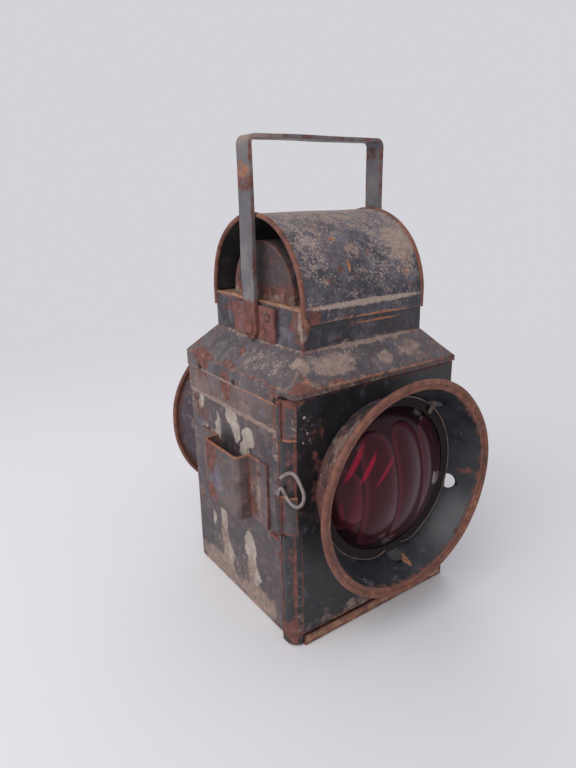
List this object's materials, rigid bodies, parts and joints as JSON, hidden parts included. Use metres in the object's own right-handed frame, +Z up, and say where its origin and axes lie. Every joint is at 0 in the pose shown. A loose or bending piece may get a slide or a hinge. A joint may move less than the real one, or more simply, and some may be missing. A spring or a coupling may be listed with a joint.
{
  "type": "railway shunter hand lamp",
  "caption": "Hand-carried oil signal lamp: sheet-steel case, hinged door with hooded red lens, hooded rear lens, barrel cowl, bail handle and a socket for a lamp iron.",
  "frame": {"origin": "middle of the flat underside, on the surface that the lamp stands on", "axes": "+Z up; -Y is the way the red lens in the door looks; -X is the side with the lamp iron socket; the handle and cowl axes run along X"},
  "size_m": [0.1903, 0.25, 0.3977],
  "materials": {
    "case_paint": "worn black paint, faded to slate grey",
    "door_paint": "worn black paint",
    "rusted_steel": "paint worn through to rust",
    "roof_paint": "worn black paint with lighter specks",
    "cowl_paint": "chalky worn paint",
    "worn_edge": "rubbed edge with brown rust",
    "hood_paint": "dark satin paint",
    "fastener_steel": "painted over, rusting",
    "sooty_steel": "sooty",
    "handle_steel": "grey worn paint",
    "wire_steel": "bare wire",
    "gasket": "matt",
    "red_glass": "pressed glass",
    "clear_glass": "pressed glass",
    "tinplate": "tinned sheet",
    "burner_brass": "dull brass",
    "wick_cotton": "woven cotton"
  },
  "bodies": {
    "case": {"base_pan": "rusted_steel", "left_side_panel": "case_paint", "right_side_panel": "case_paint", "rear_panel": "case_paint", "door_frame": "rusted_steel", "roof_skirt_band": "roof_paint", "roof": "roof_paint", "neck": "case_paint", "smoke_deck": "sooty_steel", "flue_ring": "sooty_steel", "cowl_barrel": "cowl_paint", "cowl_end_beads": "worn_edge", "smoke_baffle": "cowl_paint", "handle_brackets": "rusted_steel", "bracket_rivets": "fastener_steel", "handle_pivot_rivets": "fastener_steel", "lamp_iron_socket": "rusted_steel", "socket_rivets": "fastener_steel", "roof_rivets": "fastener_steel", "wall_rivets": "fastener_steel", "rear_hood": "hood_paint", "rear_hood_rim": "worn_edge", "rear_lens_seat": "hood_paint", "rear_lens": "clear_glass", "rear_lens_gasket": "gasket", "rear_lens_spring": "wire_steel", "hinge_case_leaves": "fastener_steel", "hinge_case_rivets": "fastener_steel", "hinge_pins": "fastener_steel", "door_keeper": "rusted_steel", "oil_fount": "tinplate", "fount_locator": "sooty_steel", "burner_collar": "burner_brass", "burner_body": "burner_brass", "burner_dome": "burner_brass", "wick_tube": "burner_brass", "filler_neck": "burner_brass"},
    "handle": {"handle": "handle_steel"},
    "door": {"door_panel": "door_paint", "hinge_door_leaves": "fastener_steel", "hinge_door_rivets": "fastener_steel", "front_hood": "hood_paint", "front_hood_rim": "worn_edge", "front_lens_seat": "hood_paint", "front_lens": "red_glass", "front_lens_gasket": "gasket", "front_lens_spring": "wire_steel", "front_lens_clip": "wire_steel", "upper_corner_strap": "fastener_steel", "hasp": "fastener_steel"},
    "hasp_pin": {"hasp_pin": "wire_steel"},
    "wick": {"wick": "wick_cotton"},
    "wick_winder": {"wick_spindle": "burner_brass", "wick_knob": "burner_brass"},
    "filler_cap": {"filler_cap": "burner_brass"}
  },
  "joints": [
    {"name": "handle_swing", "type": "hinge", "parent": "case", "child": "handle", "pos_m": [0, 0, 0.2507], "axis": [1, 0, 0], "range_deg": [-91, 91]},
    {"name": "door_swing", "type": "hinge", "parent": "case", "child": "door", "pos_m": [0.0881, -0.0706, 0], "axis": [0, 0, 1], "range_deg": [0, 110]},
    {"name": "hasp_pin_lift", "type": "slide", "parent": "door", "child": "hasp_pin", "axis": [0, 0, 1], "range_m": [0, 0.022]},
    {"name": "wick_turn", "type": "hinge", "parent": "case", "child": "wick_winder", "pos_m": [0, -0.00525, 0.08], "axis": [1, 0, 0], "range_deg": [0, 114]},
    {"name": "wick_rise", "type": "slide", "parent": "case", "child": "wick", "axis": [0, 0, 1], "range_m": [0, 0.008]},
    {"name": "filler_cap_lift", "type": "slide", "parent": "case", "child": "filler_cap", "axis": [0, 0, 1], "range_m": [0, 0.012]}
  ],
  "couplings": [
    {"joint": "wick_rise", "follows": "wick_turn", "m_per_rad": 0.004}
  ]
}
